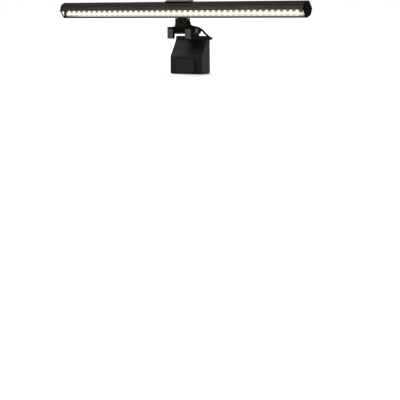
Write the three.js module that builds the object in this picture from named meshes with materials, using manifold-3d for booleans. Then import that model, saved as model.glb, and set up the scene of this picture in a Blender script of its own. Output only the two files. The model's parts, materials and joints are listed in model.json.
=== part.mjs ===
// A light bar that hangs on the top edge of a screen: a faceted aluminium bar with a row of LEDs under
// its front nose, a holder that grips it from behind, a friction hinge that tilts it, and a clamp with
// two front hooks and a sprung rear leg whose counterweight balances the bar.
// Millimetres. +X runs along the bar, +Y away from the user, +Z up. The origin is the middle of the
// clamp's seat, on the face that rests on the screen's top edge.
import * as THREE from 'three';
import { mergeVertices } from 'three/addons/utils/BufferGeometryUtils.js';
import Module from 'manifold-3d';

const wasm = await Module();
wasm.setup();

// Fits that every piece shares
const gap = 0.3;            // between pieces that are pressed or screwed together
const runningGap = 0.1;     // radial play of a pin in a bore that turns on it
const overrun = 2;          // how far a cutting tool passes through what it cuts

// Bar: the extrusion, its tray and its end caps
const barLength = 397;      // over both end caps
const barDepth = 25;        // from the front nose to the back edge
const barWall = 1.4;
const barCorner = 1.1;      // radius on the extrusion's edges
const sectionShares = [     // corners of the section, as shares of half its depth, front nose first
  [-1, 0], [-0.7, 0.66], [-0.1, 0.92], [0.22, 0.92], [1, 0.1], [0.65, -0.62], [-0.26, -0.912],
];
const visorDrop = 0.65;     // the tray's ceiling lies this far below the nose
const trayWall = 1.3;
const lipHeight = 2.6;      // the lip under the LEDs
const lipWall = 0.55;
const lensSlotDepth = 0.5;
const capThick = 3;
const capBevel = 0.5;
const capRim = 1.9;         // width of the raised rim on the cap's face
const capRecess = 0.5;
const capPlug = 7;          // length of the plug that presses into the bar
const capPlugWall = 1.6;

// LEDs
const ledPitch = 9.1;
const ledRowShift = -4;     // the row's middle lies left of the bar's, where its wires leave it
const ledWidth = 3.5;
const ledHeight = 2.8;
const ledThick = 0.8;
const boardThick = 1.6;
const boardEndPlay = 1.5;
const lensThick = 1;
const lensAir = 0.4;        // between the LEDs and the lens
const driverLength = 62;    // the dimming circuit's board inside the bar
const driverDepth = 9;
const driverThick = 1.2;
const driverPartLength = 9;
const driverPartPitch = 21;
const driverPartDepth = 5;
const driverPartHeight = 2.2;
const leadWidth = 2.2;      // the wires from the hinge into the bar
const leadEndBack = 4.1;    // where they end, behind and below the bar's middle
const leadEndDrop = 5;

// Holder: the saddle behind the bar and the touch pod above it
const saddleLength = 34;
const saddleWall = 2.4;
const saddleFrontLap = 1.9; // how far the saddle laps over the bar's top towards the front
const saddleFootLap = 9.2;  // where its lower edge ends, behind the tray
const podLength = 40.6;
const podEndSlope = 4.2;    // how much shorter the pod is at its top, at each end
const podRise = 4.2;        // above the bar's top
const podOverhang = 5.8;    // in front of the section's middle
const podBack = 5.6;
const podUnder = 0.4;       // how far the pod's underside lies below the bar's top
const podBrow = 0.8;        // height of its upright front edge
const podSlope = 5;         // depth of the sloping face behind that edge
const podEdge = 1.4;
const touchLength = 26;
const touchDepth = 4.8;
const touchThick = 0.8;
const touchDimple = 1.7;     // radius of each fingertip dimple
const touchDimpleDepth = 0.3;
const touchPitch = 9;
const saddleScrewSpread = 13;

// Tilt hinge
const hingeY = 1.7;
const hingeZ = 17;
const barForward = 8.8;     // the bar's middle, in front of the tilt axis
const barRise = 16.5;       // and above it
const barrelRadius = 5.3;
const barrelGap = 0.4;      // running gap round the barrel
const neckWidth = 18.4;
const earWidth = 3.2;
const earRise = 4.9;        // the ears' flat tops, above the tilt axis
const earCorner = 1.5;
const washerThick = 0.5;
const washerRadius = 4.2;
const shaftRadius = 2.4;
const shaftBore = 1.5;
const shaftHead = 1.1;      // thickness of the shaft's head and of its nut
const shaftHeadRadius = 3.7;
const tongueGroove = 1.2;   // the groove down the middle of the tongue's face
const tongueGrooveDepth = 1.5;
const neckFlute = 0.8;
const neckFluteDepth = 0.7;
const neckFluteTop = 4.2;   // below the tilt axis
const flangeLap = 3.1;      // beyond the neck, at each side
const flangeThick = 1;
const flangeFront = 6.6;    // in front of the origin
const flangeBack = 6;
const flangeFlare = 6;      // height of the curve from the flange into the neck
const bracketScrewInset = 0.6; // from the neck's side to the screw's axis
const bracketScrewY = 0.3;
const bracketScrewLength = 7.4;

// Clamp body
const bodyWidth = 38.8;
const bodyFront = 7.6;      // in front of the origin
const bodyBack = 21;
const bodyTop = 9.4;
const padThick = 2.5;       // the seat pad, between the screen's edge and the body
const bodyEdge = 2.5;       // radius along the top edges
const bodyBackEdge = 5;
const cheekWall = 4.5;
const blockBack = 2.8;      // rear face of the solid front block
const roofWall = 1.2;
const roofBack = 5.5;
const browTop = 10.2;       // of the brow that the body has over each hook
const browDepth = 1.8;

// Front hooks
const hookWidth = 9.4;
const hookFace = 8.8;       // front face, in front of the origin
const hookDrop = 6.6;
const hookTop = 7.8;
const hookStem = 2.4;       // thickness of the stem on the body's front
const hookEdge = 0.7;
const hookTabWidth = 5;
const hookTabHeight = 2.2;
const hookTabDepth = 2.6;
const hookTabZ = 5.4;
const glassPlane = 2;       // front of the screen, in front of the origin
const hookPadThick = 0.9;
const hookPadMargin = 0.8;

// Seat pad
const seatFront = 1.9;
const seatBarBack = 2.5;
const seatArmBack = 20.4;
const seatMargin = 0.5;

// Rear leg's pivot
const pivotY = 6;
const pivotZ = 5.2;
const pinRadius = 1.5;
const pinHeadRadius = 3.9;
const pinHeadThick = 1;
const pinHeadBevel = 0.3;
const knuckleRadius = 2.7;
const springRadius = 2.3;   // mean radius of the coils
const springWire = 0.35;    // radius of the wire
const springTurns = 6;
const springLength = 8;
const springTail = 1.8;      // from the last coil, towards the roof
const springSpace = 10.6;   // width of the opening between the knuckles
const springSpaceBack = 4.2;

// Rear leg, measured from its pivot
const armThick = 3.8;
const armWeb = 3.4;         // thickness beside it, out to the knuckles
const armWidth = 22;
const armReach = 22;        // behind the pivot
const armBend = 7;
const legWidth = 52;
const legFront = 3.5;       // front face behind the pivot
const legBehindArm = 4.5;   // rear face of the shell, behind the arm's centre line
const legTop = 8.3;         // below the pivot
const legShoulder = 13.5;   // where the front starts to slope forward
const legSlopeEnd = 36.5;
const legBottom = 62.3;
const legWall = 1.8;
const legCorner = 2.5;
const legBevel = 0.8;
const coverThick = 1.7;
const coverEdge = 0.6;
const weightInset = 0.4;
const weightTop = 21.5;
const legPadThick = 2.2;
const legPadWidth = 30;
const legPadHeight = 18;
const legPadFromBottom = 2.5;
const legPadRibs = 4;
const legPadRibDepth = 0.6;
const coverScrewInset = 6.3; // from the leg's side to the screw's axis
const coverScrewZ = 12.3;

// Screws
const screwRadius = 1;
const screwHeadRadius = 1.9;
const screwHeadThick = 1.1;
const screwLength = 5;
const screwSlot = 0.45;

// Cord
const cordWidth = 3;
const cordGap = 0.35;       // between one stretch of the cord and the next
const reliefBase = 1.95;    // radius of the strain relief at the hinge
const reliefTip = 1.75;
const coilX = -14;
const coilZ = -32;
const coilInner = 11.3;     // radius of the innermost turn
const coilLayers = 4;
const turnsPerLayer = 3.25;
const turnPitch = 3.5;
const stepsPerTurn = 24;
const coilStandOff = 1.8;   // between the cover and the coil, room for the tie
const tieWidth = 8;
const tieThick = 0.9;
const plugLength = 18;
const plugWidth = 14.5;
const plugThick = 7.6;
const plugTaper = 6;
const plugCorner = 1.6;
const shellLength = 12;
const shellWidth = 12;
const shellThick = 4.5;
const shellWall = 0.5;

// Derived places
const half = (length) => length / 2;
const section = sectionShares.map(([y, z]) => [y * half(barDepth), z * half(barDepth)]);
const [nose, , topFront, topBack, backEdge, footBack, footFront] = section;
const capX = half(barLength) - capThick;                     // where the extrusion ends
const trayCeiling = nose[1] - visorDrop;
const lipTop = footFront[1] + lipHeight;
const lensFront = footFront[0] + lipWall;
const lensBack = lensFront + lensThick;
const boardFront = lensBack + lensAir + ledThick;
const boardBack = boardFront + boardThick;
const boardEnd = capX - boardEndPlay;
const ledCount = 1 + Math.floor((2 * (boardEnd - Math.abs(ledRowShift)) - ledWidth) / ledPitch);
const leadLean = Math.atan2(barForward - leadEndBack, barRise - leadEndDrop);
const earInner = half(neckWidth) - earWidth;
const tongueHalf = earInner - washerThick - 2 * runningGap;
const headSeat = half(neckWidth) - shaftHead;                // the shaft's head is flush with the ear
const cheekInner = half(bodyWidth) - cheekWall;
const knuckleOuter = cheekInner - gap;
const legBack = armReach + legBehindArm;
const coverScrewX = half(legWidth) - coverScrewInset;
const coilFirstY = pivotY + legBack + gap + coverThick + coilStandOff + half(cordWidth);
const coilOuter = coilInner + turnsPerLayer * turnPitch;
const coilLastY = coilFirstY + (coilLayers - 1) * turnPitch;

const finishes = {
  anodised: new THREE.MeshStandardMaterial({ color: 0x34322f, roughness: 0.45, metalness: 0.7 }),
  blackPlastic: new THREE.MeshStandardMaterial({ color: 0x141413, roughness: 0.6, metalness: 0 }),
  darkDieCast: new THREE.MeshStandardMaterial({ color: 0x1c1b19, roughness: 0.5, metalness: 0.6 }),
  hookGrey: new THREE.MeshStandardMaterial({ color: 0x58585a, roughness: 0.55, metalness: 0.3 }),
  silicone: new THREE.MeshStandardMaterial({ color: 0x22222a, roughness: 0.85, metalness: 0 }),
  steel: new THREE.MeshStandardMaterial({ color: 0x9a9a9c, roughness: 0.3, metalness: 1 }),
  blackSteel: new THREE.MeshStandardMaterial({ color: 0x2a2a2b, roughness: 0.4, metalness: 0.9 }),
  board: new THREE.MeshStandardMaterial({ color: 0xf6f3e6, roughness: 0.5, metalness: 0 }),
  circuit: new THREE.MeshStandardMaterial({ color: 0x1e5a35, roughness: 0.5, metalness: 0 }),
  lens: new THREE.MeshStandardMaterial({
    color: 0xfffdf0, roughness: 0.2, metalness: 0, transparent: true, opacity: 0.5,
  }),
  cordJacket: new THREE.MeshStandardMaterial({ color: 0x151515, roughness: 0.6, metalness: 0 }),
  fabricTie: new THREE.MeshStandardMaterial({ color: 0x1b1b1c, roughness: 0.95, metalness: 0 }),
};

// Solids and outlines
function solidOf(geometry) {
  const bare = geometry.clone();
  bare.deleteAttribute('normal');
  bare.deleteAttribute('uv');
  const merged = mergeVertices(bare, 1e-4);
  const mesh = new wasm.Mesh({
    numProp: 3,
    vertProperties: merged.attributes.position.array,
    triVerts: new Uint32Array(merged.index.array),
  });
  mesh.merge();
  return new wasm.Manifold(mesh);
}

function geometryOf(solid) {
  const mesh = solid.getMesh();
  const geometry = new THREE.BufferGeometry();
  geometry.setAttribute('position', new THREE.BufferAttribute(mesh.vertProperties, 3));
  geometry.setIndex(new THREE.BufferAttribute(mesh.triVerts, 1));
  geometry.computeVertexNormals();
  return geometry;
}

// A closed outline through points, each corner rounded by a curve as long as its radius allows.
function outline(points, radius = 0) {
  const shape = new THREE.Shape();
  points.forEach(([x, y], i) => {
    const corner = new THREE.Vector2(x, y);
    const before = new THREE.Vector2(...points.at(i - 1));
    const after = new THREE.Vector2(...points[(i + 1) % points.length]);
    const reach = Math.min(radius, half(corner.distanceTo(before)), half(corner.distanceTo(after)));
    const enter = corner.clone().lerp(before, reach / corner.distanceTo(before));
    const leave = corner.clone().lerp(after, reach / corner.distanceTo(after));
    if (i === 0) shape.moveTo(enter.x, enter.y);
    else shape.lineTo(enter.x, enter.y);
    if (reach > 0) shape.quadraticCurveTo(corner.x, corner.y, leave.x, leave.y);
  });
  shape.closePath();
  return shape;
}

function rectangle(x0, y0, x1, y1, radius = 0) {
  return outline([[x0, y0], [x1, y0], [x1, y1], [x0, y1]], radius);
}

function disc(x, y, radius) {
  return new THREE.Shape().absarc(x, y, radius, 0, 2 * Math.PI, false);
}

// The same corners with every edge moved out by a distance. The corners run clockwise.
function offset(points, distance) {
  return points.map((corner, i) => {
    const here = new THREE.Vector2(...corner);
    const into = here.clone().sub(new THREE.Vector2(...points.at(i - 1))).normalize();
    const out = new THREE.Vector2(...points[(i + 1) % points.length]).sub(here).normalize();
    const first = new THREE.Vector2(-into.y, into.x);
    const second = new THREE.Vector2(-out.y, out.x);
    const middle = first.add(second);
    const moved = here.addScaledVector(middle, (2 * distance) / middle.lengthSq());
    return [moved.x, moved.y];
  });
}

function extruded(shape, depth, bevel, segments) {
  return new THREE.ExtrudeGeometry(shape, {
    depth: depth - 2 * bevel, curveSegments: segments, steps: 1,
    bevelEnabled: bevel > 0, bevelThickness: bevel, bevelSize: bevel, bevelOffset: -bevel, bevelSegments: 1,
  }).translate(0, 0, bevel);
}

// Prisms: an outline in Y and Z run along X, one in X and Z run along Y, one in X and Y run along Z.
const xAxis = new THREE.Vector3(1, 0, 0);
const yAxis = new THREE.Vector3(0, 1, 0);
const zAxis = new THREE.Vector3(0, 0, 1);

function alongX(shape, x0, x1, bevel = 0, segments = 4) {
  const basis = new THREE.Matrix4().makeBasis(yAxis, zAxis, xAxis);
  return solidOf(extruded(shape, x1 - x0, bevel, segments).applyMatrix4(basis).translate(x0, 0, 0));
}

function alongY(shape, y0, y1, bevel = 0, segments = 4) {
  const basis = new THREE.Matrix4().makeBasis(xAxis, zAxis, yAxis.clone().negate());
  return solidOf(extruded(shape, y1 - y0, bevel, segments).applyMatrix4(basis).translate(0, y1, 0));
}

function alongZ(shape, z0, z1, bevel = 0, segments = 4) {
  return solidOf(extruded(shape, z1 - z0, bevel, segments).translate(0, 0, z0));
}

function rod(y, z, radius, x0, x1, sides = 24) {
  return alongX(disc(y, z, radius), x0, x1, 0, sides);
}

// Meshes, one for each piece
function piece(name, solid, finish) {
  const geometry = solid.isBufferGeometry ? solid : geometryOf(solid);
  const mesh = new THREE.Mesh(geometry, finishes[finish].clone());
  mesh.name = name;
  return mesh;
}

// Bar: section, tray and hollow
function trayHollow() {
  const floor = footFront[1] + barWall;
  const slope = (footBack[1] - footFront[1]) / (footBack[0] - footFront[0]);
  const floorAt = (y) => floor + (y - footFront[0]) * slope;
  const wallY = boardBack + half(runningGap);
  return outline([
    [nose[0] - overrun, trayCeiling], [lensFront - half(runningGap), trayCeiling],
    [lensFront - half(runningGap), trayCeiling + lensSlotDepth],
    [lensBack + half(runningGap), trayCeiling + lensSlotDepth],
    [lensBack + half(runningGap), trayCeiling], [wallY, trayCeiling],
    [wallY, floorAt(wallY)], [lensBack + half(runningGap), floorAt(lensBack)],
    [lensBack + half(runningGap), lipTop - lensSlotDepth],
    [lensFront - half(runningGap), lipTop - lensSlotDepth],
    [lensFront - half(runningGap), lipTop], [footFront[0] - overrun, lipTop],
    [nose[0] - overrun, lipTop],
  ]);
}

function chamber(x0, x1, shrink = 0) {
  const inside = alongX(outline(offset(section, -barWall - shrink), barCorner), x0, x1);
  const wallBack = boardBack + half(runningGap) + trayWall + shrink;
  const ceilingTop = trayCeiling + trayWall + shrink;
  const tray = rectangle(nose[0] - overrun, footFront[1] - overrun, wallBack, ceilingTop);
  return inside.subtract(alongX(tray, x0 - overrun, x1 + overrun));
}

function leadBore(radius, top) {
  const bore = new THREE.CylinderGeometry(radius, radius, top, 12).rotateX(half(Math.PI));
  return solidOf(bore.translate(0, 0, half(top)).rotateX(leadLean).translate(0, barForward, -barRise));
}

function barHousing() {
  const body = alongX(outline(section, barCorner), -capX, capX);
  return body
    .subtract(alongX(trayHollow(), -capX - overrun, capX + overrun))
    .subtract(chamber(-capX - overrun, capX + overrun))
    .subtract(leadBore(half(leadWidth) + gap, leadTop()))
    .subtract(saddleScrewHole(-1)).subtract(saddleScrewHole(1));
}

function endCap(side) {
  const x0 = side > 0 ? capX : -capX - capThick;
  const plate = alongX(outline(section, barCorner), x0, x0 + capThick, capBevel);
  const face = outline(offset(section, -capRim), barCorner);
  const outer = side * (capX + capThick);
  const recess = alongX(face, Math.min(outer, outer - side * capRecess) - (side > 0 ? 0 : overrun),
    Math.max(outer, outer - side * capRecess) + (side > 0 ? overrun : 0));
  const plugEnd = side * (capX - capPlug);
  const plugX = [Math.min(plugEnd, side * capX), Math.max(plugEnd, side * capX)];
  const plug = chamber(...plugX, runningGap).subtract(
    chamber(plugX[0] - (side > 0 ? overrun : 0), plugX[1] + (side > 0 ? 0 : overrun), capPlugWall));
  return plate.subtract(recess).add(plug);
}

const ledX = (i) => ledRowShift + (i - half(ledCount - 1)) * ledPitch;
const ledZ = half(trayCeiling + lipTop) + half(lensSlotDepth);

function ledBoard() {
  const slope = (footBack[1] - footFront[1]) / (footBack[0] - footFront[0]);
  const bottom = footFront[1] + barWall + (boardBack - footFront[0]) * slope + gap;
  let board = alongX(rectangle(boardFront, bottom, boardBack, trayCeiling - gap), -boardEnd, boardEnd);
  const chip = rectangle(boardFront - ledThick, ledZ - half(ledHeight), boardFront + half(boardThick),
    ledZ + half(ledHeight));
  for (let i = 0; i < ledCount; i += 1) {
    board = board.add(alongX(chip, ledX(i) - half(ledWidth), ledX(i) + half(ledWidth)));
  }
  return board;
}

function lensStrip() {
  const top = trayCeiling + lensSlotDepth - half(runningGap);
  const bottom = lipTop - lensSlotDepth + half(runningGap);
  const bulge = new THREE.Shape();
  bulge.moveTo(lensBack, bottom);
  bulge.lineTo(lensBack, top);
  bulge.lineTo(lensFront, top);
  bulge.lineTo(lensFront, trayCeiling - gap);
  bulge.quadraticCurveTo(lensFront - lensThick, ledZ, lensFront, lipTop + gap);
  bulge.lineTo(lensFront, bottom);
  bulge.closePath();
  return alongX(bulge, -capX + gap, capX - gap, 0, 6);
}

const driverZ = trayCeiling + trayWall + gap;

function driverBoard() {
  const y0 = half(nose[0]);
  const plate = alongX(rectangle(y0, driverZ, y0 + driverDepth, driverZ + driverThick),
    -half(driverLength), half(driverLength));
  const part = rectangle(y0 + half(driverDepth - driverPartDepth), driverZ + half(driverThick),
    y0 + half(driverDepth + driverPartDepth), driverZ + driverThick + driverPartHeight);
  return [-1, 0, 1].reduce((whole, k) => whole.add(alongX(part,
    k * driverPartPitch - half(driverPartLength), k * driverPartPitch + half(driverPartLength))), plate);
}

function leadTop() {
  return Math.hypot(barForward - leadEndBack, barRise - leadEndDrop);
}

function innerLead() {
  const start = shaftRadius + gap;
  const long = leadTop() - start - gap;
  const wires = new THREE.CylinderGeometry(half(leadWidth), half(leadWidth), long, 10).rotateX(half(Math.PI));
  wires.translate(0, 0, start + half(long)).rotateX(leadLean);
  return solidOf(wires.translate(0, barForward, -barRise));
}

// Holder: saddle, pod and tongue in one die casting
function podTop() {
  return topFront[1] + podRise;
}

// The touch pod: an upright front edge, a sloping face behind it and a flat top, with slanted ends
function touchPod() {
  const under = topFront[1] - podUnder;
  const side = outline([
    [-podOverhang, under], [podBack, under], [podBack, podTop()], [-podOverhang + podSlope, podTop()],
    [-podOverhang, under + podBrow],
  ], half(podEdge));
  const x = half(podLength);
  const front = outline([
    [-x, under - overrun], [x, under - overrun], [x, under + podBrow], [x - podEndSlope, podTop() + overrun],
    [-x + podEndSlope, podTop() + overrun], [-x, under + podBrow],
  ]);
  return alongX(side, -x, x, 0, 3).intersect(alongY(front, -barDepth, barDepth));
}

// Room round the bracket's square ears, scooped out of the saddle
function earScoops() {
  const reach = Math.hypot(barrelRadius, earRise) - half(earCorner) + barrelGap;
  const scoop = (side) => rod(barForward, -barRise, reach,
    ...sided(side, earInner - gap, half(neckWidth) + gap), 12);
  return scoop(-1).add(scoop(1));
}

function saddle() {
  const x = half(saddleLength);
  const wrap = alongX(outline(offset(section, gap + saddleWall), barCorner + saddleWall), -x, x, podEdge / 2);
  const front = outline([
    [topFront[0] - saddleFrontLap, barDepth], [nose[0] - barDepth, barDepth], [nose[0] - barDepth, -barDepth],
    [footFront[0] + saddleFootLap, -barDepth], [footFront[0] + saddleFootLap, nose[1]],
    [topFront[0] - saddleFrontLap, nose[1]],
  ]);
  const pocket = alongZ(rectangle(-half(touchLength) - runningGap, touchY() - half(touchDepth) - runningGap,
    half(touchLength) + runningGap, touchY() + half(touchDepth) + runningGap, podEdge),
  podTop() - touchThick, podTop() + overrun);
  const tongueFront = barForward - barrelRadius;
  const neck = rectangle(tongueFront, -barRise, barForward + barrelRadius, 0);
  const tongue = alongX(neck, -tongueHalf, tongueHalf)
    .add(rod(barForward, -barRise, barrelRadius, -tongueHalf, tongueHalf, 12));
  const groove = alongX(rectangle(tongueFront - overrun, -barDepth, tongueFront + tongueGrooveDepth,
    footBack[1] - overrun), -half(tongueGroove), half(tongueGroove));
  return wrap.subtract(alongX(front, -x - overrun, x + overrun))
    .subtract(earScoops())
    .add(touchPod().subtract(pocket)).add(tongue.subtract(groove))
    .subtract(alongX(outline(offset(section, gap), barCorner), -half(barLength), half(barLength)))
    .subtract(rod(barForward, -barRise, shaftRadius + runningGap, -barDepth, barDepth))
    .subtract(leadBore(half(leadWidth) + gap, leadTop()))
    .subtract(saddleScrewHole(-1)).subtract(saddleScrewHole(1));
}

function touchY() {
  return half(podSlope - podOverhang + podBack);
}

function touchPanel() {
  const plate = alongZ(rectangle(-half(touchLength), touchY() - half(touchDepth), half(touchLength),
    touchY() + half(touchDepth), podEdge), podTop() - touchThick, podTop());
  return [-1, 0, 1].reduce((whole, k) => whole.subtract(alongZ(disc(k * touchPitch, touchY(), touchDimple),
    podTop() - touchDimpleDepth, podTop() + overrun, 0, 8)), plate);
}

// Screws, turned on a lathe: a low head with a slot and a plain shank
function screw(length = screwLength) {
  const profile = [[0, 0], [screwRadius, 0], [screwRadius, length], [screwHeadRadius, length],
    [screwHeadRadius, length + screwHeadThick - screwSlot],
    [screwHeadRadius - screwSlot, length + screwHeadThick], [0, length + screwHeadThick]];
  const turned = new THREE.LatheGeometry(profile.map(([r, y]) => new THREE.Vector2(r, y)), 12);
  const slot = new THREE.BoxGeometry(2 * screwHeadRadius + overrun, 2 * screwSlot, screwSlot);
  return solidOf(turned).subtract(solidOf(slot.translate(0, length + screwHeadThick, 0)));
}

function screwHole(length = screwLength, beyond = overrun) {
  const end = length + screwHeadThick + overrun;
  const profile = [[0, -beyond], [screwRadius + gap, -beyond], [screwRadius + gap, length],
    [screwHeadRadius + gap, length], [screwHeadRadius + gap, end], [0, end]];
  return solidOf(new THREE.LatheGeometry(profile.map(([r, y]) => new THREE.Vector2(r, y)), 12));
}

function placed(solid, matrix) {
  return solidOf(geometryOf(solid).applyMatrix4(matrix));
}

// The holder's screws sit square to the bar's lower back face.
function saddleScrewPlace(side) {
  const along = new THREE.Vector2(footBack[0] - backEdge[0], footBack[1] - backEdge[1]);
  const middle = new THREE.Vector2(...footBack).add(new THREE.Vector2(...backEdge)).multiplyScalar(0.5);
  const out = new THREE.Vector2(-along.y, along.x).normalize();
  const turn = Math.atan2(out.y, out.x);
  const start = middle.addScaledVector(out, gap + saddleWall - screwHeadThick - screwLength);
  return new THREE.Matrix4().makeTranslation(side * saddleScrewSpread, start.x, start.y)
    .multiply(new THREE.Matrix4().makeRotationX(turn));
}

function saddleScrewHole(side) {
  return placed(screwHole(), saddleScrewPlace(side));
}

// Tilt hinge: bracket with two ears, hollow shaft, washers and nut
function tiltBracket() {
  const floor = bodyTop;
  const neckX = half(neckWidth);
  const [front, back] = [hingeY - barrelRadius, hingeY + barrelRadius];
  const ears = alongX(rectangle(front, floor, back, hingeZ + earRise, earCorner), -neckX, neckX);
  const foot = alongX(rectangle(front, floor, back, hingeZ), -neckX, neckX);
  const above = rectangle(hingeY - barDepth, hingeZ, hingeY + barDepth, hingeZ + barDepth);
  const slot = alongX(above, -earInner, earInner)
    .add(rod(hingeY, hingeZ, barrelRadius + barrelGap, -earInner, earInner, 12));
  const flare = new THREE.Shape();
  const edge = neckX + flangeLap;
  flare.moveTo(-edge, floor);
  flare.lineTo(edge, floor);
  flare.lineTo(edge, floor + flangeThick);
  flare.quadraticCurveTo(neckX, floor + flangeThick, neckX, floor + flangeThick + flangeFlare);
  flare.lineTo(-neckX, floor + flangeThick + flangeFlare);
  flare.quadraticCurveTo(-neckX, floor + flangeThick, -edge, floor + flangeThick);
  flare.closePath();
  const plan = rectangle(-edge, -flangeFront, edge, flangeBack, podEdge);
  const neck = alongY(flare, front, Math.min(back, flangeBack), 0, 6);
  let bracket = ears.add(foot).add(neck).add(alongZ(plan, floor, floor + flangeThick))
    .subtract(slot)
    .subtract(rod(hingeY, hingeZ, shaftRadius + half(gap), -neckX - overrun, neckX + overrun));
  for (const x of [-earInner, 0, earInner]) {
    bracket = bracket.subtract(alongZ(rectangle(x - half(neckFlute), front - overrun, x + half(neckFlute),
      front + neckFluteDepth), floor + flangeThick, hingeZ - neckFluteTop));
  }
  for (const side of [-1, 1]) {
    bracket = bracket.subtract(headRecess(side))
      .subtract(placed(screwHole(bracketScrewLength, gap), bracketScrewPlace(side)));
  }
  return bracket.subtract(reliefSolid(gap));
}

// The round recess in an ear's outer face, for the shaft's head or nut
function headRecess(side) {
  return rod(hingeY, hingeZ, shaftHeadRadius + gap, ...sided(side, headSeat - gap, half(bodyWidth)));
}

// The bracket's screws come up from under the body into the ears' feet, and the seat pad hides them.
function bracketScrewPlace(side) {
  const z = padThick + gap + screwHeadThick + bracketScrewLength;
  return new THREE.Matrix4().makeTranslation(side * (half(neckWidth) - bracketScrewInset), bracketScrewY, z)
    .multiply(new THREE.Matrix4().makeRotationX(-half(Math.PI)));
}

function hollowRod(radius, bore, x0, x1, sides = 24) {
  return rod(hingeY, hingeZ, radius, x0, x1, sides)
    .subtract(rod(hingeY, hingeZ, bore, x0 - overrun, x1 + overrun, 12));
}

function tiltShaft() {
  const slot = alongZ(rectangle(-half(leadWidth) - gap, hingeY - half(leadWidth) - gap,
    half(leadWidth) + gap, hingeY + half(leadWidth) + gap), hingeZ, hingeZ + barDepth);
  return hollowRod(shaftRadius, shaftBore, -headSeat - shaftHead - gap, headSeat)
    .add(hollowRod(shaftHeadRadius, shaftBore, headSeat, headSeat + shaftHead)).subtract(slot);
}

function shaftNut() {
  return hollowRod(shaftHeadRadius, shaftRadius + half(gap), -headSeat - shaftHead, -headSeat, 6);
}

function frictionWasher(side) {
  const inner = tongueHalf + runningGap;
  const x = [side * inner, side * (inner + washerThick)].sort((a, b) => a - b);
  return hollowRod(washerRadius, shaftRadius + half(gap), ...x);
}

// Clamp body: a moulded bridge, solid in front and open behind for the leg's arm
function clampBody() {
  const x = half(bodyWidth);
  const side = new THREE.Shape();
  side.moveTo(-bodyFront, padThick);
  side.lineTo(bodyBack, padThick);
  side.lineTo(bodyBack, bodyTop - bodyBackEdge);
  side.absarc(bodyBack - bodyBackEdge, bodyTop - bodyBackEdge, bodyBackEdge, 0, half(Math.PI), false);
  side.lineTo(-bodyFront + hookEdge, bodyTop);
  side.lineTo(-bodyFront, bodyTop - hookEdge);
  side.closePath();
  const across = new THREE.Shape();
  across.moveTo(-x, padThick);
  across.lineTo(x, padThick);
  across.absarc(x - bodyEdge, bodyTop - bodyEdge, bodyEdge, 0, half(Math.PI), false);
  across.absarc(-x + bodyEdge, bodyTop - bodyEdge, bodyEdge, half(Math.PI), Math.PI, false);
  across.closePath();
  let body = alongX(side, -x, x, 0, 6).intersect(alongY(across, -bodyFront, bodyBack));
  body = body
    .subtract(alongX(rectangle(blockBack, 0, bodyBack + overrun, bodyTop - roofWall), -cheekInner, cheekInner))
    .subtract(alongX(rectangle(roofBack, 0, bodyBack + overrun, bodyTop + overrun), -cheekInner, cheekInner))
    .subtract(rod(pivotY, pivotZ, pinRadius + half(gap), -x - overrun, x + overrun, 12));
  for (const hand of [-1, 1]) {
    body = body.add(brow(hand)).subtract(hookRecess(hand))
      .subtract(placed(screwHole(bracketScrewLength), bracketScrewPlace(hand)));
  }
  return body.subtract(reliefSolid(gap)).subtract(leadGroove());
}

// The brow that covers the top of each front hook
function brow(hand) {
  const side = outline([
    [-hookFace + hookEdge, browTop], [-hookFace + browDepth, browTop], [-hookFace + browDepth, hookTop + gap],
    [-hookFace, hookTop + gap], [-hookFace, browTop - hookEdge],
  ]);
  return alongX(side, ...sided(hand, hookInner, hookInner + hookWidth));
}

function sided(hand, inner, outer) {
  return hand > 0 ? [inner, outer] : [-outer, -inner];
}

const hookInner = half(bodyWidth) - hookWidth;

function hookRecess(hand) {
  const [x0, x1] = sided(hand, hookInner - gap, half(bodyWidth) + overrun);
  const back = -hookFace + hookStem + gap;
  const front = alongX(rectangle(-bodyFront - overrun, 0, back, hookTop + gap), x0, x1);
  const [t0, t1] = sided(hand, hookInner + half(hookWidth - hookTabWidth) - gap,
    hookInner + half(hookWidth + hookTabWidth) + gap);
  const tab = alongX(rectangle(back - overrun, hookTabZ - half(hookTabHeight) - gap,
    -hookFace + hookStem + hookTabDepth + gap, hookTabZ + half(hookTabHeight) + gap), t0, t1);
  return front.add(tab);
}

function frontHook(hand) {
  const stemBack = -hookFace + hookStem;
  const toeBack = -glassPlane - hookPadThick;
  const side = outline([
    [-hookFace + hookEdge, hookTop], [stemBack, hookTop], [stemBack, padThick - gap], [toeBack, padThick - gap],
    [toeBack, -hookDrop], [-hookFace + hookEdge, -hookDrop], [-hookFace, -hookDrop + hookEdge],
    [-hookFace, hookTop - hookEdge],
  ]);
  const tab = rectangle(stemBack - hookEdge, hookTabZ - half(hookTabHeight), stemBack + hookTabDepth,
    hookTabZ + half(hookTabHeight));
  const middle = hookInner + half(hookWidth);
  return alongX(side, ...sided(hand, hookInner, hookInner + hookWidth), half(hookEdge))
    .add(alongX(tab, ...sided(hand, middle - half(hookTabWidth), middle + half(hookTabWidth))));
}

function hookPad(hand) {
  const [x0, x1] = sided(hand, hookInner + hookPadMargin, hookInner + hookWidth - hookPadMargin);
  return alongX(rectangle(-glassPlane - hookPadThick, -hookDrop + hookPadMargin, -glassPlane,
    -hookPadMargin), x0, x1);
}

function seatPad() {
  const x = half(bodyWidth) - seatMargin;
  const inner = cheekInner + seatMargin;
  const plan = outline([
    [-x, -seatFront], [x, -seatFront], [x, seatArmBack], [inner, seatArmBack], [inner, seatBarBack],
    [-inner, seatBarBack], [-inner, seatArmBack], [-x, seatArmBack],
  ]);
  return alongZ(plan, 0, padThick);
}

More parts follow.
